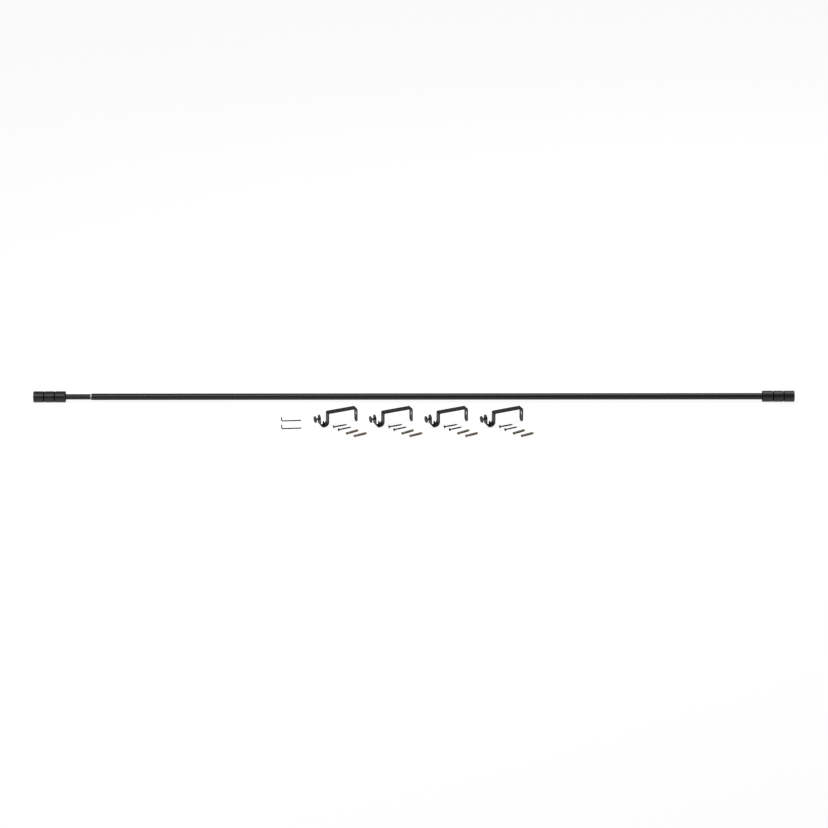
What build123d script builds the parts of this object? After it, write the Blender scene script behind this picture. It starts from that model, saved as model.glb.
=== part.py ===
# A curtain rod kit laid out on a table: a telescoping steel rod with a cylinder finial on
# each end, four cup brackets, their screws and wall plugs, and two hex keys.
# Millimetres. +X runs along the rod, +Y points away from the viewer and +Z is up.
# The origin is the middle of the kit's footprint, on the table top.

from build123d import *
import os
from math import atan2, cos, degrees, radians, sin

# Clearances
press_gap = 0.05  # radial, between pieces that are pressed or glued together
running_gap = 0.1  # radial, between a slide or screw and its hole
seat_gap = 0.1  # under a head, or where a screw's end meets a round surface
end_gap = 0.5  # between a tube's end and the floor of its socket

# Outer tube, and the liner sleeve pressed into its left end
outer_tube_diameter = 19.0
outer_tube_wall = 0.9
outer_tube_length = 1968.5
sleeve_length = 250.0
sleeve_showing = 5.2

# Inner tube, and the guide plug in its hidden end
inner_tube_diameter = 15.9
inner_tube_wall = 0.8
inner_tube_length = 1824.0
inner_tube_showing = 71.4
guide_flange_length = 8.0
guide_spigot_length = 16.0
guide_bore_diameter = 9.0

# Finials
finial_diameter = 32.4
finial_length = 91.5
finial_wall = 3.2
finial_end_thickness = 3.0
finial_rim_chamfer = 0.6
finial_bands = 3
groove_width = 3.1
groove_depth = 2.0
core_recess = 2.0  # of the core's face in the shell's mouth
socket_depth = 38.0
socket_floor = 4.0
reducer_slit = 1.2
grub_diameter = 6.0
grub_length = 6.0
grub_inset = 12.0  # from the finial's mouth

# Bracket strap
strap_width = 20.0
strap_thickness = 2.5
bracket_projection = 100.5  # from the wall to the middle of the cup
cup_radius = 11.2
arm_rise = 41.0  # arm's top above the cup's underside
front_leg_rise = 37.0  # front leg's top above the cup's underside
strap_bend_radius = 4.2  # outside the bend

# Holes in the bracket's wall plate, up from the plate's lower end
wall_hole_diameter = 4.9
countersink_diameter = 8.5
keyhole_height = 25.0
keyhole_diameter = 9.8
keyhole_slot_width = 4.9
keyhole_slot_rise = 7.4

# Screws of the bracket
seat_screw_diameter = 5.0
seat_screw_stand = 12.5  # the shank's height above the cup's floor
seat_head_diameter = 8.5
seat_head_height = 2.9
thumb_screw_diameter = 5.0
thumb_screw_reach = 9.8  # from the front leg to the knob
knob_diameter = 19.6
knob_thickness = 3.0
knob_hub_diameter = 9.0
knob_hub_length = 2.5
knob_web = 0.8  # closes the knob's front over the shank
socket_key_depth = 1.9

# Wall screws and wall plugs
screw_length = 44.5
screw_diameter = 4.5
screw_head_diameter = 9.0
screw_head_rim = 0.4
screw_head_height = 2.8
screw_tip_length = 7.0
screw_tip_diameter = 0.6
recess_width = 1.1
recess_span = 4.8
recess_depth = 1.8
plug_length = 39.5
plug_diameter = 7.0
plug_bore_diameter = 3.4
plug_collar_diameter = 8.0
plug_collar_thickness = 1.2
plug_neck_length = 9.0
plug_barb_diameter = 7.6
plug_barb_pitch = 4.0
plug_tip_length = 5.0
plug_tip_diameter = 5.2
plug_slit_width = 0.9
plug_slit_length = 27.0
plug_fin_length = 6.0
plug_fin_thickness = 0.9
plug_fin_reach = 1.6

# Hex keys
key_size = 3.0  # across the flats
key_long_arm = 55.5
key_short_arm = 24.0
key_bend_radius = 5.0

# Layout on the table, from the rod's middle and axis. A spot is x, y and the turn about Z.
bracket_sets = 4
first_cup_x = -255.7
cup_y = -174.9
set_spacing = 156.5
bracket_turn = 203.6
screw_spots = [(28.6, -9.4, 29.8), (43.1, -28.8, 34.2)]  # from the set's cup
plug_spots = [(65.9, -53.1, 35.4), (88.0, -70.1, 31.0)]  # from the set's cup
key_spots = [(-375.8, -137.0, 4.0), (-373.2, -189.6, 4.0)]

# Sizes that follow from the ones above
outer_radius = outer_tube_diameter / 2
outer_bore_radius = outer_radius - outer_tube_wall
inner_radius = inner_tube_diameter / 2
inner_bore_radius = inner_radius - inner_tube_wall
finial_radius = finial_diameter / 2
socket_radius = outer_radius + running_gap
tube_insertion = socket_depth - end_gap - core_recess
rod_length = (
    2 * finial_length
    + inner_tube_showing
    + sleeve_showing
    + outer_tube_length
    - tube_insertion
)
rod_left = -rod_length / 2
left_mouth_x = rod_left + finial_length
outer_tube_left = left_mouth_x + inner_tube_showing + sleeve_showing
inner_tube_left = left_mouth_x - tube_insertion
cup_underside = seat_head_height + seat_gap
cup_floor = cup_underside + strap_thickness
cup_centre_height = cup_floor + cup_radius
arm_top = cup_underside + arm_rise
front_leg_top = cup_underside + front_leg_rise
front_leg_inside = bracket_projection + cup_radius
thumb_height = cup_floor + seat_screw_stand + outer_radius
cup_spots = [(first_cup_x + n * set_spacing, cup_y, bracket_turn) for n in range(bracket_sets)]


# A solid turned about the X axis from an outline of x and radius points
def turned(outline):
    return revolve(make_face(Polyline(*outline, close=True)), Axis.X)


# A straight round tube along X
def tube(start, length, outside, inside):
    end = start + length
    return turned([(start, inside), (start, outside), (end, outside), (end, inside)])


# A round bar along X
def bar(start, length, radius):
    return Pos(start + length / 2, 0, 0) * Rot(0, 90, 0) * Cylinder(radius, length)


# A hexagonal prism along X, as wide across its flats as the key, with the running gap
def key_socket(start, depth):
    hexagon = RegularPolygon(key_size / 2 + running_gap, 6, major_radius=False)
    return Pos(start, 0, 0) * Rot(0, 90, 0) * extrude(hexagon, depth)


def rod_pieces():
    sleeve_radius = outer_bore_radius - press_gap
    guide_start = inner_tube_left + inner_tube_length
    spigot_radius = inner_bore_radius - press_gap
    flange_radius = outer_bore_radius - running_gap
    guide_bore = guide_bore_diameter / 2
    return {
        "outer_tube": tube(outer_tube_left, outer_tube_length, outer_radius, outer_bore_radius),
        "tube_sleeve": tube(
            outer_tube_left - sleeve_showing,
            sleeve_length,
            sleeve_radius,
            inner_radius + running_gap,
        ),
        "inner_tube": tube(inner_tube_left, inner_tube_length, inner_radius, inner_bore_radius),
        "guide_plug": turned(
            [
                (guide_start - guide_spigot_length, guide_bore),
                (guide_start - guide_spigot_length, spigot_radius),
                (guide_start, spigot_radius),
                (guide_start, flange_radius),
                (guide_start + guide_flange_length, flange_radius),
                (guide_start + guide_flange_length, guide_bore),
            ]
        ),
    }


# The finial's hollow shell, closed at x = 0 and open at its mouth, with grooves between bands
def finial_shell():
    inside = finial_radius - finial_wall
    low = finial_radius - groove_depth
    outline = [(0, 0), (0, finial_radius - finial_rim_chamfer), (finial_rim_chamfer, finial_radius)]
    for band in range(1, finial_bands):
        middle = finial_length * band / finial_bands
        near = middle - groove_width / 2
        far = middle + groove_width / 2
        outline += [(near, finial_radius), (near, low), (far, low), (far, finial_radius)]
    outline += [
        (finial_length - finial_rim_chamfer, finial_radius),
        (finial_length, finial_radius - finial_rim_chamfer),
        (finial_length, inside),
        (finial_end_thickness, inside),
        (finial_end_thickness, 0),
    ]
    return turned(outline) - grub_hole()


# The core that fills the shell's mouth and holds the socket for the tube
def finial_core():
    outside = finial_radius - finial_wall - press_gap
    face = finial_length - core_recess
    bottom = finial_length - socket_depth
    outline = [
        (bottom - socket_floor, 0),
        (bottom - socket_floor, outside),
        (face, outside),
        (face, socket_radius),
        (bottom, socket_radius),
        (bottom, 0),
    ]
    return turned(outline) - grub_hole()


# The split bush that brings the socket down to the inner tube
def finial_reducer():
    length = tube_insertion
    start = finial_length - core_recess - length
    bush = tube(start, length, socket_radius - press_gap, inner_radius + press_gap)
    slit = Box(length, socket_radius, reducer_slit, align=(Align.MIN, Align.MAX, Align.CENTER))
    return bush - Pos(start, 0, 0) * slit


# The hole for the grub screw, at the back of the finial
def grub_hole():
    drill = bar(0, finial_diameter, grub_diameter / 2 + running_gap)
    return Pos(finial_length - grub_inset, 0, 0) * Rot(0, 0, 90) * drill


def grub_screw():
    screw = bar(0, grub_length, grub_diameter / 2)
    screw -= key_socket(grub_length - socket_key_depth, socket_key_depth)
    return Pos(finial_length - grub_inset, socket_radius + seat_gap, 0) * Rot(0, 0, 90) * screw


def finial_pieces():
    left = {
        "left_finial_shell": finial_shell(),
        "left_finial_core": finial_core(),
        "left_finial_reducer": finial_reducer(),
        "left_finial_grub": grub_screw(),
    }
    pieces = {name: Pos(rod_left, 0, 0) * piece for name, piece in left.items()}
    for name in ("shell", "core", "grub"):
        pieces[f"right_finial_{name}"] = mirror(pieces[f"left_finial_{name}"], Plane.YZ)
    return pieces


# One side of the bent strap in the bracket's side view: depth 0 is the face that lies on the
# wall, along the arm's top and inside the cup, and the strap's thickness gives its other face
def strap_side(depth):
    bend = strap_bend_radius - depth
    leg = bracket_projection - cup_radius - depth
    cup = cup_radius + depth
    front = bracket_projection + cup
    far_bend = leg - bend
    wall_end = strap_width / 2
    leg_end = front_leg_top - strap_width / 2
    top = arm_top - depth
    return [
        Line((depth, wall_end), (depth, top - bend)),
        CenterArc((depth + bend, top - bend), bend, 90, 90),
        Line((depth + bend, top), (far_bend, top)),
        CenterArc((far_bend, top - bend), bend, 0, 90),
        Line((leg, top - bend), (leg, cup_centre_height)),
        CenterArc((bracket_projection, cup_centre_height), cup, 180, 180),
        Line((front, cup_centre_height), (front, leg_end)),
    ]


# A disc as thick as the strap, standing across X: the strap's round end
def strap_end(start, height):
    return Pos(0, 0, height) * bar(start, strap_thickness, strap_width / 2)


def strap_blank():
    wall_end = strap_width / 2
    leg_end = front_leg_top - strap_width / 2
    ends = [
        Line((0, wall_end), (strap_thickness, wall_end)),
        Line((front_leg_inside, leg_end), (front_leg_inside + strap_thickness, leg_end)),
    ]
    side = make_face(strap_side(0) + strap_side(strap_thickness) + ends)
    blank = extrude(Plane.XZ * side, strap_width / 2, both=True)
    return blank + strap_end(0, wall_end) + strap_end(front_leg_inside, leg_end)


# The lower wall screw's countersunk hole and the keyhole above it
def wall_holes():
    start = -strap_thickness
    depth = 3 * strap_thickness
    hole = wall_hole_diameter / 2
    sink = countersink_diameter / 2
    land = strap_thickness - (sink - hole)
    countersink = turned([(land, 0), (land, hole), (strap_thickness, sink), (strap_thickness, 0)])
    from_corner = (Align.MIN, Align.CENTER, Align.MIN)
    slot = Box(depth, keyhole_slot_width, keyhole_slot_rise, align=from_corner)
    lower = bar(start, depth, hole) + countersink
    keyhole = (
        bar(start, depth, keyhole_diameter / 2)
        + Pos(start, 0, 0) * slot
        + Pos(0, 0, keyhole_slot_rise) * bar(start, depth, keyhole_slot_width / 2)
    )
    return Pos(0, 0, strap_width / 2) * lower + Pos(0, 0, keyhole_height) * keyhole


def bracket_strap():
    depth = 3 * strap_thickness
    thumb_radius = thumb_screw_diameter / 2 + running_gap
    thumb_hole = bar(front_leg_inside - strap_thickness, depth, thumb_radius)
    seat_hole = Cylinder(seat_screw_diameter / 2 + running_gap, depth)
    return (
        strap_blank()
        - wall_holes()
        - Pos(0, 0, thumb_height) * thumb_hole
        - Pos(bracket_projection, 0, cup_underside) * seat_hole
    )


def thumb_shank():
    length = strap_thickness + thumb_screw_reach + knob_thickness - knob_web
    return Pos(0, 0, thumb_height) * bar(front_leg_inside, length, thumb_screw_diameter / 2)


# The knob turned as one piece: a hub, a disc and a blind hole for the shank
def thumb_knob():
    bore = thumb_screw_diameter / 2 + press_gap
    back = front_leg_inside + strap_thickness + thumb_screw_reach
    front = back + knob_thickness
    floor = front - knob_web + press_gap
    outline = [
        (back - knob_hub_length, bore),
        (back - knob_hub_length, knob_hub_diameter / 2),
        (back, knob_hub_diameter / 2),
        (back, knob_diameter / 2),
        (front, knob_diameter / 2),
        (front, 0),
        (floor, 0),
        (floor, bore),
    ]
    return Pos(0, 0, thumb_height) * turned(outline)


# The low-headed screw that comes up through the cup's floor and carries the rod
def seat_screw():
    shank = seat_screw_diameter / 2
    head = seat_head_diameter / 2
    top = cup_floor + seat_screw_stand
    neck = seat_head_height
    screw = turned([(0, 0), (0, head), (neck, head), (neck, shank), (top, shank), (top, 0)])
    screw -= key_socket(0, socket_key_depth)
    return Pos(bracket_projection, 0, 0) * Rot(0, -90, 0) * screw


def bracket_pieces():
    pieces = {
        "bracket_strap": bracket_strap(),
        "thumb_knob": thumb_knob(),
        "thumb_shank": thumb_shank(),
        "seat_screw": seat_screw(),
    }
    placed = {}
    for number, (x, y, turn) in enumerate(cup_spots, 1):
        for name, piece in pieces.items():
            spot = Pos(x, y, 0) * Rot(0, 0, turn) * Pos(-bracket_projection, 0, 0)
            placed[f"{name}_{number}"] = spot * piece
    return placed


def wall_screw():
    shank = screw_diameter / 2
    head = screw_head_diameter / 2
    tip = screw_tip_diameter / 2
    outline = [
        (0, 0),
        (0, head),
        (screw_head_rim, head),
        (screw_head_height, shank),
        (screw_length - screw_tip_length, shank),
        (screw_length, tip),
        (screw_length, 0),
    ]
    upright = Box(2 * recess_depth, recess_width, recess_span)
    across = Box(2 * recess_depth, recess_span, recess_width)
    return turned(outline) - upright - across


# A plastic plug: a collar, a smooth neck, saw-tooth barbs, a split end and two side fins
def wall_plug():
    bore = plug_bore_diameter / 2
    neck = plug_diameter / 2
    barb = plug_barb_diameter / 2
    collar = plug_collar_diameter / 2
    barbs_end = plug_length - plug_tip_length
    barbs = int((barbs_end - plug_neck_length) / plug_barb_pitch)
    step = plug_collar_thickness
    outline = [(0, bore), (0, collar), (step, collar), (step, neck)]
    for n in range(barbs):
        start = barbs_end - (barbs - n) * plug_barb_pitch
        outline += [(start, neck - (barb - neck)), (start + plug_barb_pitch, barb)]
    outline += [
        (barbs_end, neck - (barb - neck)),
        (plug_length, plug_tip_diameter / 2),
        (plug_length, bore),
    ]
    from_tip = (Align.MAX, Align.CENTER, Align.CENTER)
    slit = Box(plug_slit_length, 2 * barb, plug_slit_width, align=from_tip)
    fin = Box(plug_fin_length, 2 * (neck + plug_fin_reach), plug_fin_thickness)
    fin -= bar(-plug_fin_length, 2 * plug_fin_length, neck - (neck - bore) / 2)
    fin_middle = plug_neck_length - plug_fin_length / 2
    return turned(outline) - Pos(plug_length, 0, 0) * slit + Pos(fin_middle, 0, 0) * fin


# Lays a turned piece on the table so that two of its rims touch z = 0. A rim is x and radius.
def laid_down(piece, first_rim, second_rim, cup, spot):
    tilt = atan2(first_rim[1] - second_rim[1], second_rim[0] - first_rim[0])
    height = first_rim[1] * cos(tilt) + first_rim[0] * sin(tilt)
    x, y, turn = spot
    return Pos(cup[0] + x, cup[1] + y, height) * Rot(0, 0, turn) * Rot(0, degrees(tilt), 0) * piece


def fixing_pieces():
    screw_rims = (
        (screw_head_rim, screw_head_diameter / 2),
        (screw_length - screw_tip_length, screw_diameter / 2),
    )
    plug_rims = (
        (plug_collar_thickness, plug_collar_diameter / 2),
        (plug_length - plug_tip_length, plug_barb_diameter / 2),
    )
    screw = wall_screw()
    plug = wall_plug()
    placed = {}
    for number, cup in enumerate(cup_spots, 1):
        screws = [laid_down(screw, *screw_rims, cup, spot) for spot in screw_spots]
        plugs = [laid_down(plug, *plug_rims, cup, spot) for spot in plug_spots]
        placed[f"wall_screws_{number}"] = Compound(screws)
        placed[f"wall_plugs_{number}"] = Compound(plugs)
    return placed


# A hexagonal bar along two arms joined by an arc, flat on the table with its corner at x = y = 0
def hex_key():
    path = FilletPolyline((key_long_arm, 0), (0, 0), (0, key_short_arm), radius=key_bend_radius)
    start = Plane(origin=(key_long_arm, 0), x_dir=(0, 1, 0), z_dir=(-1, 0, 0))
    hexagon = RegularPolygon(key_size / 2, 6, major_radius=False)
    return Pos(0, 0, key_size / 2) * sweep(start * hexagon, path)


def key_pieces():
    placed = {}
    for number, (x, y, turn) in enumerate(key_spots, 1):
        placed[f"hex_key_{number}"] = Pos(x, y, 0) * Rot(0, 0, turn) * hex_key()
    return placed


# The rod lies on its finials, so its axis is as high as their radius
def kit_pieces():
    pieces = rod_pieces() | finial_pieces()
    pieces = {name: Pos(0, 0, finial_radius) * piece for name, piece in pieces.items()}
    return pieces | bracket_pieces() | fixing_pieces() | key_pieces()


# The middle of the footprint of all the pieces
def footprint_middle(pieces):
    boxes = [piece.bounding_box() for piece in pieces.values()]
    x = (min(box.min.X for box in boxes) + max(box.max.X for box in boxes)) / 2
    y = (min(box.min.Y for box in boxes) + max(box.max.Y for box in boxes)) / 2
    return x, y


kit = kit_pieces()
middle_x, middle_y = footprint_middle(kit)
os.makedirs("parts", exist_ok=True)
for name, piece in kit.items():
    export_step(Pos(-middle_x, -middle_y, 0) * piece, f"parts/{name}.step")
print(len(kit), "nodes; footprint middle", round(middle_x, 3), round(middle_y, 3))
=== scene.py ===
import bmesh
import bpy
import math
from mathutils import Matrix, Quaternion, Vector


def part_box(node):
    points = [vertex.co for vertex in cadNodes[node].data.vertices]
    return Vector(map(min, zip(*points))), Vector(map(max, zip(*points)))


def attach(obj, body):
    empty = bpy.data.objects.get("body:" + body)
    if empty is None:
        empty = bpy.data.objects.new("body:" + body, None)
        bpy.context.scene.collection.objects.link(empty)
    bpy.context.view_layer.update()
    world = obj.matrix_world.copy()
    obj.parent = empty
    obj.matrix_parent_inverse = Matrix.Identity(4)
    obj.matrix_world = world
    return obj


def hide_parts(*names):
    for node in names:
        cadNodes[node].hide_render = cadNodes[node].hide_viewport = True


# A curtain rod kit laid out on a pale table: a telescoping rod with a cylinder finial on each
# end, four cup brackets with their screws, wall screws and wall plugs, and two hex keys.
# Sizes in the dictionaries are millimetres and degrees, unless a note says otherwise.

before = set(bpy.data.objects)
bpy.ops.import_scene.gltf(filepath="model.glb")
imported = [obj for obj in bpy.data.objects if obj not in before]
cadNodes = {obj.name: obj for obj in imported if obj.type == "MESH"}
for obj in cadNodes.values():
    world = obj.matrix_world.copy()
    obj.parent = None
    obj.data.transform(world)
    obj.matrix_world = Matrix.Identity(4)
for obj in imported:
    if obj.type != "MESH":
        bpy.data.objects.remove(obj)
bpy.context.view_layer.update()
mm = 0.001  # metres
scene = bpy.context.scene
print("frame loaded:", len(cadNodes), "nodes")


def boxMiddle(node):
    low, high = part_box(node)
    return (low + high) / 2


# The rod's axis, from the turned finials, and its middle
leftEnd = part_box("left_finial_shell")[0].x
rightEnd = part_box("right_finial_shell")[1].x
finialMiddle = boxMiddle("left_finial_shell")
rodMiddle = Vector(((leftEnd + rightEnd) / 2, finialMiddle.y, finialMiddle.z))


# Camera: long lens, looking down at the table from the front
cameraView = {
    "sensor": 36.0,
    "distance": 8.0,  # metres
    "elevation": 24.3,
    "roll": -0.05,
    "framePixels": 828,
    "rodPixels": (33.8, 794.1),  # left and right end of the rod in the frame
    "rodRow": 396.53,
    "clip": (0.1, 1000.0),  # metres
}


def makeCamera():
    up = math.radians(cameraView["elevation"])
    forward = Vector((0, math.cos(up), -math.sin(up)))
    upward = Vector((0, math.sin(up), math.cos(up)))
    left, right = cameraView["rodPixels"]
    pixel = (rightEnd - leftEnd) / (right - left)  # metres, at the rod
    frameMiddle = cameraView["framePixels"] / 2
    aim = rodMiddle.copy()
    aim.x -= ((left + right) / 2 - frameMiddle) * pixel
    aim -= upward * (frameMiddle - cameraView["rodRow"]) * pixel
    data = bpy.data.cameras.new("camera")
    data.sensor_width = cameraView["sensor"]
    width = cameraView["framePixels"] * pixel
    data.lens = cameraView["sensor"] * cameraView["distance"] / width
    data.clip_start, data.clip_end = cameraView["clip"]
    camera = bpy.data.objects.new("camera", data)
    scene.collection.objects.link(camera)
    turn = Matrix((Vector((1, 0, 0)), upward, -forward)).transposed().to_4x4()
    roll = Matrix.Rotation(math.radians(cameraView["roll"]), 4, "Z")
    place = Matrix.Translation(aim - forward * cameraView["distance"])
    camera.matrix_world = place @ turn @ roll
    scene.camera = camera
    print("camera:", round(data.lens, 1), "mm lens")


makeCamera()


# Adds a node. A setting is an attribute or an input's default; a link comes from a socket or
# from a node's first output. Inputs go by name or number.
def addNode(tree, kind, settings=None, links=None):
    node = tree.nodes.new(kind)
    for key, value in (settings or {}).items():
        if isinstance(key, str) and hasattr(node, key):
            setattr(node, key, value)
        else:
            node.inputs[key].default_value = value
    for key, source in (links or {}).items():
        socket = source.outputs[0] if isinstance(source, bpy.types.Node) else source
        tree.links.new(socket, node.inputs[key])
    return node


def fromHex(code):
    channels = [int(code[n:n + 2], 16) / 255 for n in (1, 3, 5)]
    linear = [c / 12.92 if c <= 0.04045 else ((c + 0.055) / 1.055) ** 2.4 for c in channels]
    return (*linear, 1.0)


# Table and light
studio = {
    "tableColour": "#707070",
    "tableGlow": 0.895,  # seen on top of the lit table, which is then white with pale shadows
    "tableSide": 400.0,  # metres
    "horizon": 0.18,
    "zenith": 0.4,
    "keyPower": 58.0,  # watts
    "keySize": (5.4, 1.25),  # metres
    "keyPlace": (0.0, -0.25, 1.85),  # metres, from the rod's middle
    "keyTurn": 33.0,  # its left end is nearer the viewer, as the highlight on the rod shows
    "fillPower": 3.0,
    "fillSize": (4.0, 1.2),
    "fillPlace": (0.0, 2.4, 1.3),
}


# Pale laminate table: an even near-white that still takes a soft contact shadow
def tableLaminate():
    material = bpy.data.materials.new("paleTableLaminate")
    material.use_nodes = True
    tree = material.node_tree
    tree.nodes.clear()
    diffuse = addNode(tree, "ShaderNodeBsdfDiffuse", {"Color": fromHex(studio["tableColour"])})
    path = addNode(tree, "ShaderNodeLightPath")
    seen = addNode(
        tree, "ShaderNodeMath", {"operation": "MAXIMUM"},
        {0: path.outputs["Is Camera Ray"], 1: path.outputs["Is Glossy Ray"]})
    seen = addNode(
        tree, "ShaderNodeMath", {"operation": "MAXIMUM"},
        {0: seen, 1: path.outputs["Is Transmission Ray"]})
    glow = addNode(
        tree, "ShaderNodeMath", {"operation": "MULTIPLY", 1: studio["tableGlow"]}, {0: seen})
    light = addNode(tree, "ShaderNodeEmission", {}, {"Strength": glow})
    both = addNode(tree, "ShaderNodeAddShader", {}, {0: diffuse, 1: light})
    addNode(tree, "ShaderNodeOutputMaterial", {}, {"Surface": both})
    return material


def makeTable():
    half = studio["tableSide"] / 2
    mesh = bpy.data.meshes.new("table")
    corners = [(-half, -half, 0), (half, -half, 0), (half, half, 0), (-half, half, 0)]
    mesh.from_pydata(corners, [], [(0, 1, 2, 3)])
    mesh.materials.append(tableLaminate())
    table = bpy.data.objects.new("table", mesh)
    scene.collection.objects.link(table)


def makeSoftbox(name, power, size, place, turn=0.0):
    data = bpy.data.lights.new(name, "AREA")
    data.shape = "RECTANGLE"
    data.size, data.size_y = size
    data.energy = power
    light = bpy.data.objects.new(name, data)
    scene.collection.objects.link(light)
    light.location = rodMiddle + Vector(place)
    light.rotation_mode = "QUATERNION"
    facing = Vector(place).to_track_quat("Z", "Y")
    light.rotation_quaternion = Quaternion((0, 0, 1), math.radians(turn)) @ facing


# A grey studio that is lighter overhead. The table fills what the camera sees.
def makeWorld():
    world = bpy.data.worlds.new("studio")
    scene.world = world
    world.use_nodes = True
    tree = world.node_tree
    tree.nodes.clear()
    where = addNode(tree, "ShaderNodeTexCoord").outputs["Generated"]
    height = addNode(tree, "ShaderNodeSeparateXYZ", {}, {0: where}).outputs["Z"]
    strength = addNode(
        tree, "ShaderNodeMapRange", {"To Min": studio["horizon"], "To Max": studio["zenith"]},
        {0: height})
    back = addNode(
        tree, "ShaderNodeBackground", {"Color": (1, 1, 1, 1)}, {"Strength": strength})
    addNode(tree, "ShaderNodeOutputWorld", {}, {"Surface": back})


makeTable()
makeWorld()
makeSoftbox(
    "keySoftbox", studio["keyPower"], studio["keySize"], studio["keyPlace"], studio["keyTurn"])
makeSoftbox("fillSoftbox", studio["fillPower"], studio["fillSize"], studio["fillPlace"])
scene.view_settings.view_transform = "Standard"
print("table and lights made")


# Finishes. Pattern sizes are millimetres on the object. A relief is its pattern's size, its
# height in millimetres and its strength.
finishes = {
    "tubeCoat": {
        "dark": "#0a0a0b", "light": "#101011", "roughness": 0.34, "specular": 0.42,
        "relief": (1.6, 0.012, 1.0)},
    "enamel": {
        "dark": "#0b0b0c", "light": "#121213", "roughness": 0.34, "specular": 0.46,
        "relief": (2.2, 0.012, 1.0)},
    "bracketCoat": {
        "dark": "#0b0b0c", "light": "#121213", "roughness": 0.42, "specular": 0.28,
        "relief": (0.7, 0.02, 1.0)},
    # Painted shade for the finials' grooves and mouth: a near-black colour and almost no gloss
    "groove": {
        "colour": "#030303", "roughness": 0.9, "specular": 0.03, "relief": (0.5, 0.01, 0.6)},
    "oxide": {
        "dark": "#111110", "light": "#201e1b", "cloud": 3.5, "roughness": 0.36,
        "smoother": 0.06, "rougher": 0.08, "relief": (0.5, 0.01, 0.6)},
    "nylon": {
        "colour": "#08080a", "roughness": 0.6, "specular": 0.15, "relief": (0.35, 0.02, 0.8)},
    "liner": {
        "colour": "#c2c3bf", "roughness": 0.34, "ior": 1.51, "transmission": 0.35,
        "relief": (1.2, 0.02, 0.5)},
    "plug": {
        "dark": "#40362b", "light": "#8b7c69", "flow": 7.0, "swirl": 0.4, "roughness": 0.46,
        "ior": 1.53, "glow": 0.12, "glowRadius": (1.0, 0.8, 0.6), "glowDepth": 1.2,
        "relief": (0.45, 0.02, 0.7)},
}
coat = {"drift": 40.0, "handled": 11.0, "smoother": 0.04, "rougher": 0.05}  # all three coats
noiseSpan = {"From Min": 0.3, "From Max": 0.7}  # what a noise pattern mostly stays within


def startMaterial(name):
    material = bpy.data.materials.new(name)
    material.use_nodes = True
    tree = material.node_tree
    tree.nodes.clear()
    shader = addNode(tree, "ShaderNodeBsdfPrincipled")
    addNode(tree, "ShaderNodeOutputMaterial", {}, {"Surface": shader})
    spot = addNode(tree, "ShaderNodeTexCoord").outputs["Object"]
    return material, tree, shader, spot


# Gives the surface its fine relief, and returns the relief's pattern
def addRelief(tree, shader, spot, relief, detail=2.0):
    size, height, strength = relief
    pattern = addNode(
        tree, "ShaderNodeTexNoise", {"Scale": 1 / (size * mm), "Detail": detail}, {"Vector": spot})
    bump = addNode(
        tree, "ShaderNodeBump", {"Strength": strength, "Distance": height * mm},
        {"Height": pattern})
    tree.links.new(bump.outputs[0], shader.inputs["Normal"])
    return pattern


# Clouds the colour between the finish's dark and its light, in patches of the given size
def addClouds(tree, shader, spot, finish, size, detail=3.0, swirl=0.0):
    pattern = addNode(
        tree, "ShaderNodeTexNoise",
        {"Scale": 1 / (size * mm), "Detail": detail, "Distortion": swirl}, {"Vector": spot})
    colour = addNode(
        tree, "ShaderNodeMix",
        {"data_type": "RGBA", 6: fromHex(finish["dark"]), 7: fromHex(finish["light"])},
        {0: pattern})
    tree.links.new(colour.outputs[2], shader.inputs["Base Color"])


# A sprayed or baked coat: colour that drifts a little, handled patches that are a touch
# smoother, and the fine orange peel that the coat dries to
def coatedMaterial(name, finish):
    material, tree, shader, spot = startMaterial(name)
    addClouds(tree, shader, spot, finish, coat["drift"])
    handled = addNode(
        tree, "ShaderNodeTexNoise", {"Scale": 1 / (coat["handled"] * mm), "Detail": 4.0},
        {"Vector": spot})
    rough = addNode(
        tree, "ShaderNodeMapRange",
        noiseSpan | {"To Min": finish["roughness"] - coat["smoother"],
                     "To Max": finish["roughness"] + coat["rougher"]},
        {0: handled})
    tree.links.new(rough.outputs[0], shader.inputs["Roughness"])
    addRelief(tree, shader, spot, finish["relief"])
    shader.inputs["Specular IOR Level"].default_value = finish["specular"]
    return material


# Satin polyester powder coat on steel tube: smooth, deep black, with a soft long highlight
def tubeCoat():
    return coatedMaterial("satinPowderCoatTube", finishes["tubeCoat"])


# Baked satin enamel on turned metal: a shade glossier than the tube
def finialEnamel():
    return coatedMaterial("bakedSatinEnamel", finishes["enamel"])


# The same enamel in the grooves and at the mouth, dull, with painted shade: a near-black colour
# and almost no gloss stand in for the shade of these hollows, so that the grooves read as black
# lines
def grooveShadeEnamel():
    finish = finishes["groove"]
    material, tree, shader, spot = startMaterial("paintedGrooveShade")
    addRelief(tree, shader, spot, finish["relief"])
    shader.inputs["Base Color"].default_value = fromHex(finish["colour"])
    shader.inputs["Roughness"].default_value = finish["roughness"]
    shader.inputs["Specular IOR Level"].default_value = finish["specular"]
    return material


# Fine-texture powder coat on bent steel strip: drier, with a grain that breaks the highlight
def bracketCoat():
    return coatedMaterial("fineTexturePowderCoat", finishes["bracketCoat"])


# Black oxide on steel: a dark metal with brown-grey clouding and an oily half gloss
def blackOxide():
    finish = finishes["oxide"]
    material, tree, shader, spot = startMaterial("blackOxideSteel")
    addClouds(tree, shader, spot, finish, finish["cloud"], detail=5.0)
    grain = addRelief(tree, shader, spot, finish["relief"], detail=3.0)
    rough = addNode(
        tree, "ShaderNodeMapRange",
        noiseSpan | {"To Min": finish["roughness"] - finish["smoother"],
                     "To Max": finish["roughness"] + finish["rougher"]},
        {0: grain})
    tree.links.new(rough.outputs[0], shader.inputs["Roughness"])
    shader.inputs["Metallic"].default_value = 1.0
    return material


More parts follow.
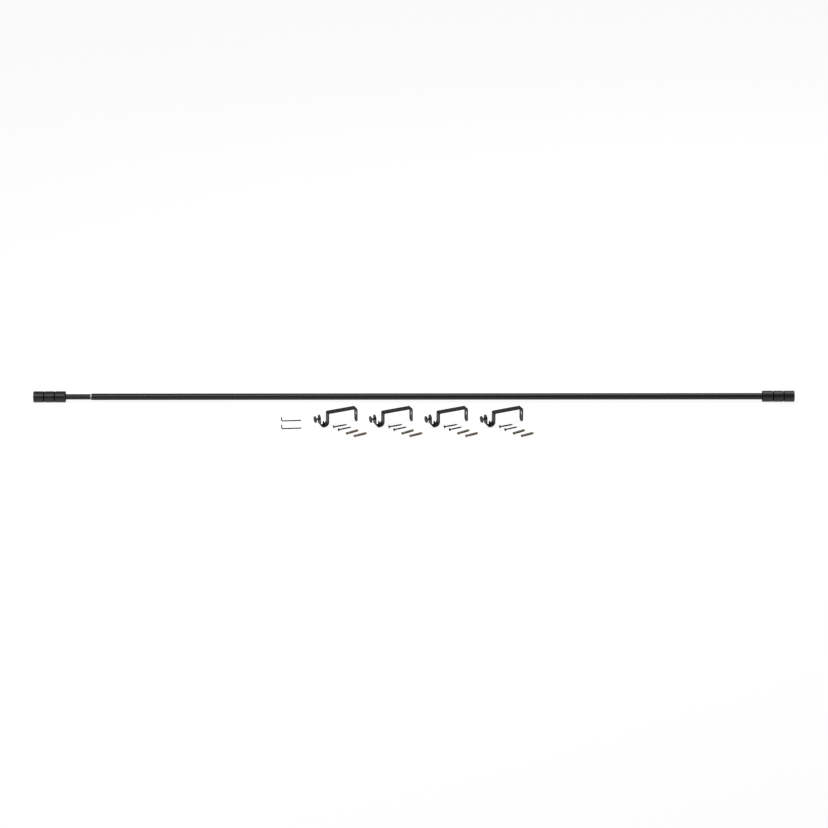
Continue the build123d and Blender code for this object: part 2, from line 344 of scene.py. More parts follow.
# Injection-moulded black nylon: dry, even, with a fine spark-eroded grain
def mouldedNylon():
    finish = finishes["nylon"]
    material, tree, shader, spot = startMaterial("mouldedBlackNylon")
    addRelief(tree, shader, spot, finish["relief"])
    shader.inputs["Base Color"].default_value = fromHex(finish["colour"])
    shader.inputs["Roughness"].default_value = finish["roughness"]
    shader.inputs["Specular IOR Level"].default_value = finish["specular"]
    return material


# Natural polyethylene liner: milky, lets some light through and shows as a pale grey ring
def milkyLiner():
    finish = finishes["liner"]
    material, tree, shader, spot = startMaterial("milkyPolyethylene")
    addRelief(tree, shader, spot, finish["relief"])
    shader.inputs["Base Color"].default_value = fromHex(finish["colour"])
    shader.inputs["Roughness"].default_value = finish["roughness"]
    shader.inputs["Transmission Weight"].default_value = finish["transmission"]
    shader.inputs["IOR"].default_value = finish["ior"]
    return material


# Moulded grey-brown nylon plugs: waxy, slightly uneven colour where the melt flowed
def plugNylon():
    finish = finishes["plug"]
    material, tree, shader, spot = startMaterial("mouldedPlugNylon")
    addClouds(tree, shader, spot, finish, finish["flow"], swirl=finish["swirl"])
    addRelief(tree, shader, spot, finish["relief"])
    shader.inputs["Roughness"].default_value = finish["roughness"]
    shader.inputs["IOR"].default_value = finish["ior"]
    shader.inputs["Subsurface Weight"].default_value = finish["glow"]
    shader.inputs["Subsurface Radius"].default_value = finish["glowRadius"]
    shader.inputs["Subsurface Scale"].default_value = finish["glowDepth"] * mm
    return material


# The finishes of each slot. A face's material index picks one of them.
slotMaterials = {
    "tube_finish": [tubeCoat()],
    # The enamel, then its painted shade for the grooves and the mouth
    "finial_finish": [finialEnamel(), grooveShadeEnamel()],
    "bracket_finish": [bracketCoat()],
    "black_oxide": [blackOxide()],
    "black_nylon": [mouldedNylon()],
    "clear_liner": [milkyLiner()],
    "plug_nylon": [plugNylon()],
}
print("finishes made:", len(slotMaterials))


# Mesh tools. Meshes are made in millimetres and placed by a matrix that ends in metres.
toMetres = Matrix.Scale(mm, 4)
sliver = 0.01  # points that a cut leaves within this of each other are merged
axisRadius = 1e-6  # an outline's point within this of the axis becomes a pole
sharpAngle = 35.0  # an edge where faces meet at more than this is sharp
easing = {
    "merge": 0.002,
    "flatAngle": 0.4,  # faces that meet at less than this are joined up
    "cornerAngle": 30.0,  # and at more than this have their edge eased
    "sharpAngle": 50.0,
    "segments": 2,
}


# Rounds the corners of an outline. A point is x, radius and the length taken off its corner.
def softened(outline, steps=4):
    soft = []
    for n, (x, radius, *cut) in enumerate(outline):
        corner = Vector((x, radius))
        if not cut:
            soft.append(corner)
            continue
        before = Vector(outline[n - 1][:2])
        after = Vector(outline[(n + 1) % len(outline)][:2])
        start = corner + (before - corner).normalized() * cut[0]
        end = corner + (after - corner).normalized() * cut[0]
        for step in range(steps + 1):
            t = step / steps
            soft.append(start * (1 - t) ** 2 + corner * (2 * t * (1 - t)) + end * t ** 2)
    return soft


# Turns an outline of x and radius about the X axis
def addTurned(bm, outline, sides, closed=False):
    turns = [2 * math.pi * n / sides for n in range(sides)]
    rings = []
    for x, radius in outline:
        if radius < axisRadius:
            rings.append([bm.verts.new((x, 0, 0))])
            continue
        rings.append(
            [bm.verts.new((x, radius * math.cos(a), radius * math.sin(a))) for a in turns])
    pairs = list(zip(rings, rings[1:]))
    if closed:
        pairs.append((rings[-1], rings[0]))
    for first, second in pairs:
        for n in range(sides):
            corners = [
                first[n % len(first)], first[(n + 1) % sides % len(first)],
                second[(n + 1) % sides % len(second)], second[n % len(second)]]
            bm.faces.new(list(dict.fromkeys(corners)))
    return rings


# Closes an end ring with a flat face that has a keyed recess in it. The outline is y and z, and
# the recess's floor is the outline times shrink.
def addRecess(bm, ring, outline, depth, shrink=1.0):
    x = ring[0].co.x
    inward = depth if x <= 0 else -depth
    mouth = [bm.verts.new((x, y, z)) for y, z in outline]
    floor = [bm.verts.new((x + inward, y * shrink, z * shrink)) for y, z in outline]
    edges = []
    for loop in (ring, mouth):
        for n, vert in enumerate(loop):
            after = loop[(n + 1) % len(loop)]
            edges.append(bm.edges.get((vert, after)) or bm.edges.new((vert, after)))
    bmesh.ops.triangle_fill(bm, use_beauty=True, edges=edges)
    for n in range(len(mouth)):
        after = (n + 1) % len(mouth)
        bm.faces.new((mouth[n], mouth[after], floor[after], floor[n]))
    bm.faces.new(floor)


def hexOutline(acrossFlats):
    corner = acrossFlats / math.sqrt(3)
    turns = [math.radians(30 + 60 * n) for n in range(6)]
    return [(corner * math.cos(a), corner * math.sin(a)) for a in turns]


def crossOutline(width, span):
    w, s = width / 2, span / 2
    quarter = [(w, w), (s, w), (s, -w)]
    points = []
    for n in range(4):
        turn = Matrix.Rotation(-n * math.pi / 2, 2)
        points += [tuple(turn @ Vector(p)) for p in quarter]
    return points


def newMesh(name, bm, place):
    bmesh.ops.recalc_face_normals(bm, faces=bm.faces)
    mesh = bpy.data.meshes.new(name)
    bm.to_mesh(mesh)
    bm.free()
    mesh.transform(place)
    for polygon in mesh.polygons:
        polygon.use_smooth = True
    mesh.set_sharp_from_angle(angle=math.radians(sharpAngle))
    return mesh


# Cuts the cutter's mesh out of a mesh, and merges the slivers that the cut leaves
def cutFrom(mesh, cutter):
    work = bpy.data.objects.new("work", mesh)
    tool = bpy.data.objects.new("cutter", cutter)
    for item in (work, tool):
        scene.collection.objects.link(item)
    modifier = work.modifiers.new("cut", "BOOLEAN")
    modifier.operation = "DIFFERENCE"
    modifier.solver = "EXACT"
    modifier.object = tool
    evaluated = work.evaluated_get(bpy.context.evaluated_depsgraph_get())
    result = bpy.data.meshes.new_from_object(evaluated)
    for item in (work, tool):
        bpy.data.objects.remove(item)
    bm = bmesh.new()
    bm.from_mesh(result)
    bmesh.ops.remove_doubles(bm, verts=bm.verts, dist=sliver)
    bmesh.ops.dissolve_degenerate(bm, edges=bm.edges, dist=sliver)
    bm.to_mesh(result)
    bm.free()
    return result


# The mesh that a node tree makes, from its own parts or from a base mesh, as a plain mesh
def builtByNodes(tree, values, base=None):
    holder = bpy.data.objects.new("holder", base or bpy.data.meshes.new("holder"))
    scene.collection.objects.link(holder)
    modifier = holder.modifiers.new("build", "NODES")
    modifier.node_group = tree
    for item in tree.interface.items_tree:
        if item.in_out == "INPUT" and item.name in values:
            modifier[item.identifier] = values[item.name]
    evaluated = holder.evaluated_get(bpy.context.evaluated_depsgraph_get())
    mesh = bpy.data.meshes.new_from_object(evaluated)
    bpy.data.objects.remove(holder)
    return mesh


# Joins meshes into one, keeping each one's place
def joined(name, meshes, place):
    bm = bmesh.new()
    for mesh in meshes:
        bm.from_mesh(mesh)
    return newMesh(name, bm, place)


# A finished piece: its finish, its flat faces' normals weighted, its body and its nodes
def addPiece(name, mesh, slotName, body, nodes):
    finishOf = [polygon.material_index for polygon in mesh.polygons]
    mesh.materials.clear()
    for material in slotMaterials[slotName]:
        mesh.materials.append(material)
    for polygon, index in zip(mesh.polygons, finishOf):
        polygon.material_index = min(index, len(mesh.materials) - 1)
    piece = bpy.data.objects.new(name, mesh)
    scene.collection.objects.link(piece)
    weights = piece.modifiers.new("weights", "WEIGHTED_NORMAL")
    weights.mode = "FACE_AREA"
    weights.keep_sharp = True
    evaluated = piece.evaluated_get(bpy.context.evaluated_depsgraph_get())
    piece.data = bpy.data.meshes.new_from_object(evaluated)
    piece.data.name = name
    piece.modifiers.clear()
    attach(piece, body)
    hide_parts(*nodes)
    return piece


# A sheet or bar part from its exact solid: merged, its flat faces joined up, its edges eased
def eased(node, edge):
    bm = bmesh.new()
    bm.from_mesh(cadNodes[node].data)
    bmesh.ops.remove_doubles(bm, verts=bm.verts, dist=easing["merge"] * mm)
    bmesh.ops.dissolve_limit(
        bm, angle_limit=math.radians(easing["flatAngle"]), verts=bm.verts, edges=bm.edges)
    mesh = bpy.data.meshes.new(node)
    bm.to_mesh(mesh)
    bm.free()
    work = bpy.data.objects.new("work", mesh)
    scene.collection.objects.link(work)
    bevel = work.modifiers.new("bevel", "BEVEL")
    bevel.width = edge * mm
    bevel.segments = easing["segments"]
    bevel.limit_method = "ANGLE"
    bevel.angle_limit = math.radians(easing["cornerAngle"])
    evaluated = work.evaluated_get(bpy.context.evaluated_depsgraph_get())
    result = bpy.data.meshes.new_from_object(evaluated)
    bpy.data.objects.remove(work)
    for polygon in result.polygons:
        polygon.use_smooth = True
    result.set_sharp_from_angle(angle=math.radians(easing["sharpAngle"]))
    return result


# Node tree: a threaded bar along X. Crest Share is the part of the pitch that the ridge takes,
# Lead is how far the thread runs out at the start and Tip Share the radius left at the tip.
def threadTree():
    tree = bpy.data.node_groups.new("threadedBar", "GeometryNodeTree")
    sizes = {
        "Length": 10.0, "Radius": 2.5, "Depth": 0.4, "Pitch": 0.8, "Crest Share": 1.0,
        "Start": 0.0, "Lead": 1.0, "Tip Length": 0.5, "Tip Share": 0.8}
    for name, value in sizes.items():
        socket = tree.interface.new_socket(name, in_out="INPUT", socket_type="NodeSocketFloat")
        socket.default_value = value
    for name, value in {"Sides": 28, "Rows": 100}.items():
        socket = tree.interface.new_socket(name, in_out="INPUT", socket_type="NodeSocketInt")
        socket.default_value = value
    tree.interface.new_socket("Finish", in_out="INPUT", socket_type="NodeSocketMaterial")
    tree.interface.new_socket("Bar", in_out="OUTPUT", socket_type="NodeSocketGeometry")
    given = addNode(tree, "NodeGroupInput").outputs
    blank = addNode(
        tree, "GeometryNodeMeshCylinder", {"fill_type": "NGON", "Radius": 1.0},
        {"Vertices": given["Sides"], "Side Segments": given["Rows"], "Depth": given["Length"]})
    place = addNode(tree, "GeometryNodeInputPosition")
    across, upright, axial = addNode(tree, "ShaderNodeSeparateXYZ", {}, {0: place}).outputs
    half = addNode(
        tree, "ShaderNodeMath", {"operation": "MULTIPLY", 1: 0.5}, {0: given["Length"]})
    along = addNode(tree, "ShaderNodeMath", {"operation": "ADD"}, {0: axial, 1: half})
    angle = addNode(tree, "ShaderNodeMath", {"operation": "ARCTAN2"}, {0: upright, 1: across})
    turns = addNode(tree, "ShaderNodeMath", {"operation": "DIVIDE", 1: 2 * math.pi}, {0: angle})
    pitches = addNode(
        tree, "ShaderNodeMath", {"operation": "DIVIDE"}, {0: along, 1: given["Pitch"]})
    behind = addNode(tree, "ShaderNodeMath", {"operation": "SUBTRACT"}, {0: pitches, 1: turns})
    phase = addNode(tree, "ShaderNodeMath", {"operation": "FRACT"}, {0: behind})
    fromRoot = addNode(
        tree, "ShaderNodeMapRange",
        {"From Min": 0.0, "From Max": 1.0, "To Min": -1.0, "To Max": 1.0}, {0: phase})
    ridge = addNode(tree, "ShaderNodeMath", {"operation": "ABSOLUTE"}, {0: fromRoot})
    root = addNode(
        tree, "ShaderNodeMath", {"operation": "SUBTRACT", 0: 1.0}, {1: given["Crest Share"]})
    crest = addNode(
        tree, "ShaderNodeMapRange", {"From Max": 1.0, "To Min": 0.0, "To Max": 1.0},
        {0: ridge, "From Min": root})
    leadEnd = addNode(
        tree, "ShaderNodeMath", {"operation": "ADD"}, {0: given["Start"], 1: given["Lead"]})
    fade = addNode(
        tree, "ShaderNodeMapRange", {"To Min": 0.0, "To Max": 1.0},
        {0: along, "From Min": given["Start"], "From Max": leadEnd})
    height = addNode(tree, "ShaderNodeMath", {"operation": "MULTIPLY"}, {0: crest, 1: fade})
    missing = addNode(tree, "ShaderNodeMath", {"operation": "SUBTRACT", 0: 1.0}, {1: height})
    sunk = addNode(
        tree, "ShaderNodeMath", {"operation": "MULTIPLY"}, {0: missing, 1: given["Depth"]})
    cut = addNode(
        tree, "ShaderNodeMath", {"operation": "SUBTRACT"}, {0: given["Radius"], 1: sunk})
    tipStart = addNode(
        tree, "ShaderNodeMath", {"operation": "SUBTRACT"},
        {0: given["Length"], 1: given["Tip Length"]})
    taper = addNode(
        tree, "ShaderNodeMapRange", {"To Min": 1.0},
        {0: along, "From Min": tipStart, "From Max": given["Length"],
         "To Max": given["Tip Share"]})
    radius = addNode(tree, "ShaderNodeMath", {"operation": "MULTIPLY"}, {0: cut, 1: taper})
    side = addNode(tree, "ShaderNodeMath", {"operation": "MULTIPLY"}, {0: radius, 1: across})
    top = addNode(tree, "ShaderNodeMath", {"operation": "MULTIPLY"}, {0: radius, 1: upright})
    spot = addNode(tree, "ShaderNodeCombineXYZ", {}, {0: along, 1: side, 2: top})
    moved = addNode(
        tree, "GeometryNodeSetPosition", {}, {"Geometry": blank.outputs["Mesh"], "Position": spot})
    real = addNode(tree, "GeometryNodeRealizeInstances", {}, {0: moved})
    named = addNode(
        tree, "GeometryNodeSetMaterial", {}, {"Geometry": real, "Material": given["Finish"]})
    addNode(tree, "NodeGroupOutput", {}, {0: named})
    return tree


# Node tree: presses straight ribs into the rim of a turned piece, outside the From Radius
def ribTree():
    tree = bpy.data.node_groups.new("ribbedRim", "GeometryNodeTree")
    tree.interface.new_socket("Blank", in_out="INPUT", socket_type="NodeSocketGeometry")
    for name, value in {"Ribs": 60.0, "Depth": 0.3, "From Radius": 9.0}.items():
        socket = tree.interface.new_socket(name, in_out="INPUT", socket_type="NodeSocketFloat")
        socket.default_value = value
    tree.interface.new_socket("Finish", in_out="INPUT", socket_type="NodeSocketMaterial")
    tree.interface.new_socket("Ribbed", in_out="OUTPUT", socket_type="NodeSocketGeometry")
    given = addNode(tree, "NodeGroupInput").outputs
    place = addNode(tree, "GeometryNodeInputPosition")
    across, upright = addNode(tree, "ShaderNodeSeparateXYZ", {}, {0: place}).outputs[1:]
    flat = addNode(tree, "ShaderNodeCombineXYZ", {}, {1: across, 2: upright})
    length = addNode(tree, "ShaderNodeVectorMath", {"operation": "LENGTH"}, {0: flat})
    radius = length.outputs["Value"]
    angle = addNode(tree, "ShaderNodeMath", {"operation": "ARCTAN2"}, {0: upright, 1: across})
    turned = addNode(
        tree, "ShaderNodeMath", {"operation": "MULTIPLY"}, {0: angle, 1: given["Ribs"]})
    wave = addNode(tree, "ShaderNodeMath", {"operation": "COSINE"}, {0: turned})
    outside = addNode(
        tree, "ShaderNodeMath", {"operation": "GREATER_THAN"},
        {0: radius, 1: given["From Radius"]})
    valley = addNode(
        tree, "ShaderNodeMapRange", {"From Min": 1.0, "From Max": -1.0, "To Min": 0.0},
        {0: wave, "To Max": given["Depth"]})
    pressed = addNode(tree, "ShaderNodeMath", {"operation": "MULTIPLY"}, {0: valley, 1: outside})
    share = addNode(tree, "ShaderNodeMath", {"operation": "DIVIDE"}, {0: pressed, 1: radius})
    inward = addNode(
        tree, "ShaderNodeVectorMath", {"operation": "SCALE"}, {0: flat, "Scale": share})
    back = addNode(
        tree, "ShaderNodeVectorMath", {"operation": "SCALE", "Scale": -1.0}, {0: inward})
    moved = addNode(
        tree, "GeometryNodeSetPosition", {}, {"Geometry": given["Blank"], "Offset": back})
    real = addNode(tree, "GeometryNodeRealizeInstances", {}, {0: moved})
    named = addNode(
        tree, "GeometryNodeSetMaterial", {}, {"Geometry": real, "Material": given["Finish"]})
    addNode(tree, "NodeGroupOutput", {}, {0: named})
    return tree


threads = threadTree()
ribs = ribTree()


# A threaded bar in millimetres, with enough rows that each pitch has its ridge and root
def threadedBar(sizes, rowsPerPitch=10):
    rows = int(round(sizes["Length"] / sizes["Pitch"] * rowsPerPitch))
    return builtByNodes(threads, sizes | {"Rows": rows, "Finish": slotMaterials["black_oxide"][0]})


# Rod: two steel tubes with rolled ends, and the milky liner between them
rod = {
    "outerRadius": 9.5,
    "outerWall": 0.9,
    "innerRadius": 7.95,
    "innerWall": 0.8,
    "linerRadius": 8.55,
    "linerBore": 8.05,
    "rolledEdge": 0.3,
    "edgeShare": 0.45,  # the rolled edge takes at most this share of the wall
    "sides": 96,
    "guideEdge": 0.15,
}


def makeTube(node, radius, bore, slotName, body):
    low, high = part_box(node)
    start = (low.x - rodMiddle.x) / mm
    end = (high.x - rodMiddle.x) / mm
    edge = min(rod["rolledEdge"], (radius - bore) * rod["edgeShare"])
    outline = softened(
        [(start, bore, edge), (start, radius, edge), (end, radius, edge), (end, bore, edge)])
    bm = bmesh.new()
    addTurned(bm, outline, rod["sides"], closed=True)
    mesh = newMesh(node, bm, Matrix.Translation(rodMiddle) @ toMetres)
    addPiece(node + "_look", mesh, slotName, body, [node])


def makeRod():
    outerBore = rod["outerRadius"] - rod["outerWall"]
    innerBore = rod["innerRadius"] - rod["innerWall"]
    makeTube("outer_tube", rod["outerRadius"], outerBore, "tube_finish", "root")
    makeTube("inner_tube", rod["innerRadius"], innerBore, "tube_finish", "inner_rod")
    makeTube("tube_sleeve", rod["linerRadius"], rod["linerBore"], "clear_liner", "root")
    guide = eased("guide_plug", rod["guideEdge"])
    addPiece("guide_plug_look", guide, "black_nylon", "inner_rod", ["guide_plug"])
    print("rod made")


# Finials: a shell turned with two grooves, and the core with the socket in its mouth
finial = {
    "radius": 16.2,
    "length": 91.5,
    "wall": 3.2,
    "endThickness": 3.0,
    "rim": 0.6,
    "bands": 3,
    "grooveWidth": 3.1,
    "grooveDepth": 2.0,
    "grooveEdge": 0.25,
    "coreRecess": 2.0,
    "coreGap": 0.05,
    "socketDepth": 38.0,
    "socketFloor": 4.0,
    "socketRadius": 9.6,
    "mouthEdge": 0.2,
    "coreEdge": 0.3,
    "socketEdge": 0.5,
    "bushEdge": 0.15,
    "grubInset": 12.0,
    "grubSeat": 9.7,  # from the axis to the grub screw's inner end
    "grubHole": 3.1,
    "drill": (5.0, 20.0),  # from and to, out from the axis
    "sides": 128,
    "coreSides": 96,
    "drillSides": 40,
    "shadeFinish": 1,  # the material index of the painted shade in the grooves and at the mouth
}


# The drill for the grub screw's hole, out to the back from the axis
def grubDrill():
    bm = bmesh.new()
    start, end = finial["drill"]
    radius = finial["grubHole"]
    outline = [(start, 0), (start, radius), (end, radius), (end, 0)]
    addTurned(bm, outline, finial["drillSides"])
    turn = Matrix.Rotation(math.pi / 2, 4, "Z")
    inset = Matrix.Translation((finial["length"] - finial["grubInset"], 0, 0))
    return newMesh("drill", bm, inset @ turn)


def finialShell():
    radius, length, rim = finial["radius"], finial["length"], finial["rim"]
    bore = radius - finial["wall"]
    low = radius - finial["grooveDepth"]
    edge = finial["grooveEdge"]
    outline = [(0, 0), (0, radius, rim)]
    for band in range(1, finial["bands"]):
        near = length * band / finial["bands"] - finial["grooveWidth"] / 2
        far = near + finial["grooveWidth"]
        outline += [(near, radius, edge), (near, low, edge), (far, low, edge), (far, radius, edge)]
    outline += [(length, radius, rim), (length, bore, finial["mouthEdge"])]
    outline += [(finial["endThickness"], bore), (finial["endThickness"], 0)]
    bm = bmesh.new()
    addTurned(bm, softened(outline), finial["sides"])
    shell = cutFrom(newMesh("shell", bm, Matrix()), grubDrill())
    # Faces sunk below the outside, in the grooves, at the mouth and inside, take the painted shade
    for polygon in shell.polygons:
        depth = radius - math.hypot(polygon.center.y, polygon.center.z)
        sunk = depth > edge and polygon.center.x > rim
        polygon.material_index = finial["shadeFinish"] if sunk else 0
    return shell


def finialCore():
    radius = finial["radius"] - finial["wall"] - finial["coreGap"]
    face = finial["length"] - finial["coreRecess"]
    bottom = finial["length"] - finial["socketDepth"]
    end = bottom - finial["socketFloor"]
    socket, edge = finial["socketRadius"], finial["coreEdge"]
    outline = [
        (end, 0), (end, radius, edge), (face, radius, edge),
        (face, socket, finial["socketEdge"]), (bottom, socket), (bottom, 0)]
    bm = bmesh.new()
    addTurned(bm, softened(outline), finial["coreSides"])
    return cutFrom(newMesh("core", bm, Matrix()), grubDrill())


# Grub screw: a hex socket screw with no head, its socket outwards
grub = {
    "radius": 3.0,
    "length": 6.0,
    "pitch": 1.0,
    "threadDepth": 0.5,
    "lead": 0.6,
    "tipLength": 0.6,
    "tipShare": 0.82,
    "key": 3.2,
    "keyDepth": 1.9,
    "sides": 36,
}


def grubScrew():
    bar = threadedBar({
        "Length": grub["length"], "Radius": grub["radius"], "Depth": grub["threadDepth"],
        "Pitch": grub["pitch"], "Lead": grub["lead"], "Tip Length": grub["tipLength"],
        "Tip Share": grub["tipShare"], "Sides": grub["sides"]})
    bm = bmesh.new()
    bm.from_mesh(bar)
    caps = [face for face in bm.faces if len(face.verts) == grub["sides"]]
    cap = max(caps, key=lambda face: face.calc_center_median().x)
    ring = list(cap.verts)
    bm.faces.remove(cap)
    addRecess(bm, ring, hexOutline(grub["key"]), grub["keyDepth"])
    return newMesh("grub", bm, Matrix())


def makeFinials():
    screw = grubScrew()
    outward = Matrix.Translation(
        (finial["length"] - finial["grubInset"], finial["grubSeat"], 0))
    screw.transform(outward @ Matrix.Rotation(math.pi / 2, 4, "Z"))
    ends = {
        "left": Matrix.Translation((leftEnd, rodMiddle.y, rodMiddle.z)),
        "right": Matrix.Translation((rightEnd, rodMiddle.y, rodMiddle.z))
        @ Matrix.Rotation(math.pi, 4, "Y")}
    parts = {
        "shell": (finialShell(), "finial_finish", "finial"),
        "core": (finialCore(), "black_nylon", "finial"),
        "grub": (screw, "black_oxide", "grub")}
    for side, place in ends.items():
        for part, (mesh, slotName, body) in parts.items():
            placed = mesh.copy()
            placed.transform(place @ toMetres)
            node = f"{side}_finial_{part}"
            addPiece(node + "_look", placed, slotName, f"{side}_{body}", [node])
    bush = eased("left_finial_reducer", finial["bushEdge"])
    addPiece(
        "left_finial_reducer_look", bush, "black_nylon", "left_finial",
        ["left_finial_reducer"])
    print("finials made")


# Brackets: the strap, and what its two screws share
bracket = {
    "sets": 4,
    "projection": 100.5,  # from the wall face to the rod's axis
    "legInside": 111.7,  # from the wall face to the front leg
    "strap": 2.5,
    "strapEdge": 0.3,
    "screwRadius": 2.5,
    "screwSides": 28,
    "pitch": 0.8,
    "threadDepth": 0.42,
}


# A bracket's own space: x from the wall face towards the cup, z up from the table
def bracketSpace(number):
    cup = boxMiddle(f"seat_screw_{number}")
    knob = boxMiddle(f"thumb_knob_{number}")
    turn = Matrix.Rotation(math.atan2(knob.y - cup.y, knob.x - cup.x), 4, "Z")
    back = Matrix.Translation((-bracket["projection"], 0, 0))
    return Matrix.Translation((cup.x, cup.y, 0)) @ turn @ toMetres @ back


# Thumb screw: a ribbed knob with a hub behind and a shallow dish in front, on its shank
thumbScrew = {
    "height": 27.5,
    "reach": 9.8,  # from the front leg to the knob
    "knobRadius": 9.8,
    "knobThickness": 3.0,
    "knobWeb": 0.8,  # from the shank's end to the knob's front
    "knobEdge": 0.5,
    "fillet": 0.3,
    "dishDepth": 0.5,
    "dishInset": 1.6,
    "dishSlope": 0.7,
    "hubRadius": 4.5,
    "hubLength": 2.5,
    "hubEdge": 0.4,
    "boreGap": 0.05,
    "boreEdge": 0.2,
    "ribs": 60,
    "ribDepth": 0.3,
    "ribBand": 0.45,  # how far in from the rim the ribs reach
    "lead": 0.5,
    "tipLength": 0.6,
    "tipShare": 0.82,
}


def knobMesh():
    back = bracket["legInside"] + bracket["strap"] + thumbScrew["reach"]
    front = back + thumbScrew["knobThickness"]
    floor = front - thumbScrew["knobWeb"]
    radius, hub = thumbScrew["knobRadius"], thumbScrew["hubRadius"]
    bore = bracket["screwRadius"] + thumbScrew["boreGap"]
    hubEnd = back - thumbScrew["hubLength"]
    dish = radius - thumbScrew["dishInset"]
    dishFloor = front - thumbScrew["dishDepth"]
    edge, fillet = thumbScrew["knobEdge"], thumbScrew["fillet"]
    outline = [
        (floor, 0), (floor, bore), (hubEnd, bore, thumbScrew["boreEdge"]),
        (hubEnd, hub, thumbScrew["hubEdge"]), (back, hub, fillet), (back, radius, edge),
        (front, radius, edge), (front, dish, fillet),
        (dishFloor, dish - thumbScrew["dishSlope"], fillet), (dishFloor, 0)]
    bm = bmesh.new()
    addTurned(bm, softened(outline), 4 * thumbScrew["ribs"])
    blank = newMesh("knob", bm, Matrix())
    ribbed = builtByNodes(
        ribs, {"Ribs": float(thumbScrew["ribs"]), "Depth": thumbScrew["ribDepth"],
               "From Radius": radius - thumbScrew["ribBand"],
               "Finish": slotMaterials["bracket_finish"][0]}, blank)
    return joined("knob", [ribbed], Matrix.Translation((0, 0, thumbScrew["height"])))


def shankMesh():
    length = bracket["strap"] + thumbScrew["reach"]
    length += thumbScrew["knobThickness"] - thumbScrew["knobWeb"]
    bar = threadedBar({
        "Length": length, "Radius": bracket["screwRadius"], "Depth": bracket["threadDepth"],
        "Pitch": bracket["pitch"], "Lead": thumbScrew["lead"],
        "Tip Length": thumbScrew["tipLength"], "Tip Share": thumbScrew["tipShare"],
        "Sides": bracket["screwSides"]})
    end = Matrix.Translation((bracket["legInside"] + length, 0, thumbScrew["height"]))
    return joined("shank", [bar], end @ Matrix.Rotation(math.pi, 4, "Z"))


# Seat screw: a low-headed hex socket screw that stands up through the cup's floor. The rounding
# at each end of its head is a list of how far along and how far in from the side.
seatScrew = {
    "top": 18.0,
    "headRadius": 4.25,
    "headHeight": 2.9,
    "headSides": 48,
    "faceRounding": [(0.0, 0.35), (0.1, 0.1), (0.35, 0.0)],
    "neckRounding": [(-0.5, 0.0), (-0.15, 0.15), (0.0, 0.5)],
    "overlap": 0.2,  # how far the bar reaches into the head
    "lead": 0.8,
    "tipLength": 0.7,
    "tipShare": 0.8,
    "key": 3.2,
    "keyDepth": 1.9,
}


def seatScrewMesh():
    head, neck, overlap = seatScrew["headRadius"], seatScrew["headHeight"], seatScrew["overlap"]
    bar = threadedBar({
        "Length": seatScrew["top"] - neck + overlap, "Radius": bracket["screwRadius"],
        "Depth": bracket["threadDepth"], "Pitch": bracket["pitch"], "Start": overlap,
        "Lead": seatScrew["lead"], "Tip Length": seatScrew["tipLength"],
        "Tip Share": seatScrew["tipShare"], "Sides": bracket["screwSides"]})
    bar.transform(Matrix.Translation((neck - overlap, 0, 0)))
    outline = [Vector((x, head - inset)) for x, inset in seatScrew["faceRounding"]]
    outline += [Vector((neck + x, head - inset)) for x, inset in seatScrew["neckRounding"]]
    outline.append(Vector((neck, 0)))
    bm = bmesh.new()
    rings = addTurned(bm, outline, seatScrew["headSides"])
    addRecess(bm, rings[0], hexOutline(seatScrew["key"]), seatScrew["keyDepth"])
    top = newMesh("head", bm, Matrix())
    upright = Matrix.Rotation(-math.pi / 2, 4, "Y")
    place = Matrix.Translation((bracket["projection"], 0, 0)) @ upright
    return joined("seat", [top, bar], place)


def makeBrackets():
    parts = {
        "thumb_knob": (knobMesh(), "bracket_finish", "thumb_screw"),
        "thumb_shank": (shankMesh(), "black_oxide", "thumb_screw"),
        "seat_screw": (seatScrewMesh(), "black_oxide", "seat_screw")}
    for number in range(1, bracket["sets"] + 1):
        space = bracketSpace(number)
        node = f"bracket_strap_{number}"
        strap = eased(node, bracket["strapEdge"])
        addPiece(node + "_look", strap, "bracket_finish", f"bracket_{number}", [node])
        for part, (mesh, slotName, body) in parts.items():
            placed = mesh.copy()
            placed.transform(space)
            node = f"{part}_{number}"
            addPiece(node + "_look", placed, slotName, f"{body}_{number}", [node])
    print("brackets made")


# Wall screws, two with each bracket: countersunk head, cross recess and a coarse thread
wallScrew = {
    "length": 44.5,
    "radius": 2.25,
    "headRadius": 4.5,
    "headHeight": 2.8,
    "headSides": 48,
    "headRim": 0.4,
    "rimRounding": [(0.0, 0.25), (0.2, 0.06), (0.6, 0.0), (1.0, 0.05)],  # share of the rim, inset
    "stub": 1.0,  # how far the head's own neck reaches into the bar
    "stubInset": (0.1, 0.15),  # in from the bar's side, at the stub's start and end
    "recessWidth": 1.1,
    "recessSpan": 4.8,
    "recessDepth": 1.8,
    "recessTaper": 0.55,
    "pitch": 1.8,
    "rowsPerPitch": 12,
    "sides": 28,
    "threadDepth": 0.36,
    "crestShare": 0.6,
    "plainNeck": 7.0,
    "lead": 1.5,
    "tipLength": 7.0,
    "tipShare": 0.12,
    "spots": [(28.6, -9.4, 29.8), (43.1, -28.8, 34.2)],  # x, y and turn, from the set's cup
}


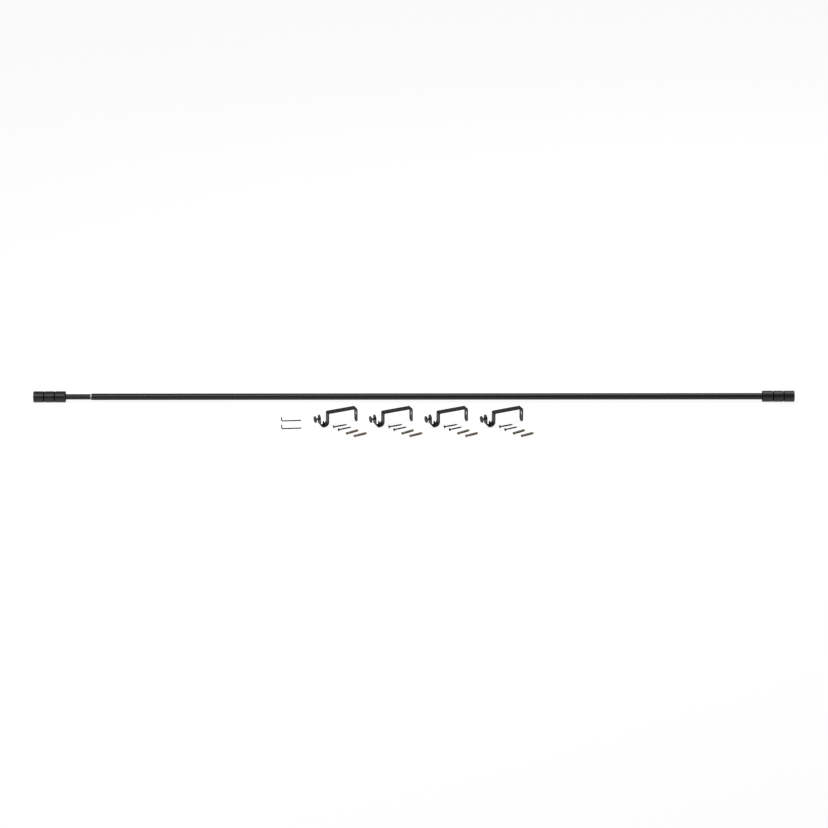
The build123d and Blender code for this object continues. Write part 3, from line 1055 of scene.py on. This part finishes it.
def screwMesh():
    head, neck, radius = wallScrew["headRadius"], wallScrew["headHeight"], wallScrew["radius"]
    rim, stubEnd = wallScrew["headRim"], neck + wallScrew["stub"]
    nearInset, farInset = wallScrew["stubInset"]
    outline = [Vector((rim * share, head - inset)) for share, inset in wallScrew["rimRounding"]]
    outline += [
        Vector((neck, radius - nearInset)), Vector((stubEnd, radius - farInset)),
        Vector((stubEnd, 0))]
    bm = bmesh.new()
    rings = addTurned(bm, outline, wallScrew["headSides"])
    addRecess(
        bm, rings[0], crossOutline(wallScrew["recessWidth"], wallScrew["recessSpan"]),
        wallScrew["recessDepth"], wallScrew["recessTaper"])
    top = newMesh("head", bm, Matrix())
    bar = threadedBar({
        "Length": wallScrew["length"] - neck, "Radius": radius, "Depth": wallScrew["threadDepth"],
        "Pitch": wallScrew["pitch"], "Crest Share": wallScrew["crestShare"],
        "Start": wallScrew["plainNeck"], "Lead": wallScrew["lead"],
        "Tip Length": wallScrew["tipLength"], "Tip Share": wallScrew["tipShare"],
        "Sides": wallScrew["sides"]}, wallScrew["rowsPerPitch"])
    bar.transform(Matrix.Translation((neck, 0, 0)))
    return joined("screw", [top, bar], Matrix())


# Where a screw lies: its head's rim and the start of its tip both touch the table
def layScrew(cup, spot):
    rim, radius = wallScrew["headRim"], wallScrew["radius"]
    drop = wallScrew["headRadius"] - radius
    reach = wallScrew["length"] - wallScrew["tipLength"] - rim
    tilt = math.atan2(drop, reach)
    height = wallScrew["headRadius"] * math.cos(tilt) + rim * math.sin(tilt)
    x, y, turn = spot
    place = Matrix.Translation((cup.x + x * mm, cup.y + y * mm, height * mm))
    lay = Matrix.Rotation(math.radians(turn), 4, "Z") @ Matrix.Rotation(tilt, 4, "Y")
    return place @ lay @ toMetres


# Plugs and hex keys, which keep their exact solids' shapes with the edges eased
loose = {"plugEdge": 0.12, "keyEdge": 0.18, "keys": 2}


def makeFixings():
    screw = screwMesh()
    for number in range(1, bracket["sets"] + 1):
        body = f"fixings_{number}"
        cup = boxMiddle(f"seat_screw_{number}")
        bm = bmesh.new()
        for spot in wallScrew["spots"]:
            placed = screw.copy()
            placed.transform(layScrew(cup, spot))
            bm.from_mesh(placed)
        node = f"wall_screws_{number}"
        addPiece(node + "_look", newMesh("screws", bm, Matrix()), "black_oxide", body, [node])
        node = f"wall_plugs_{number}"
        plugs = eased(node, loose["plugEdge"])
        addPiece(node + "_look", plugs, "plug_nylon", body, [node])
    for number in range(1, loose["keys"] + 1):
        node = f"hex_key_{number}"
        key = eased(node, loose["keyEdge"])
        addPiece(node + "_look", key, "black_oxide", node, [node])
    print("fixings made")


makeRod()
makeFinials()
makeBrackets()
makeFixings()
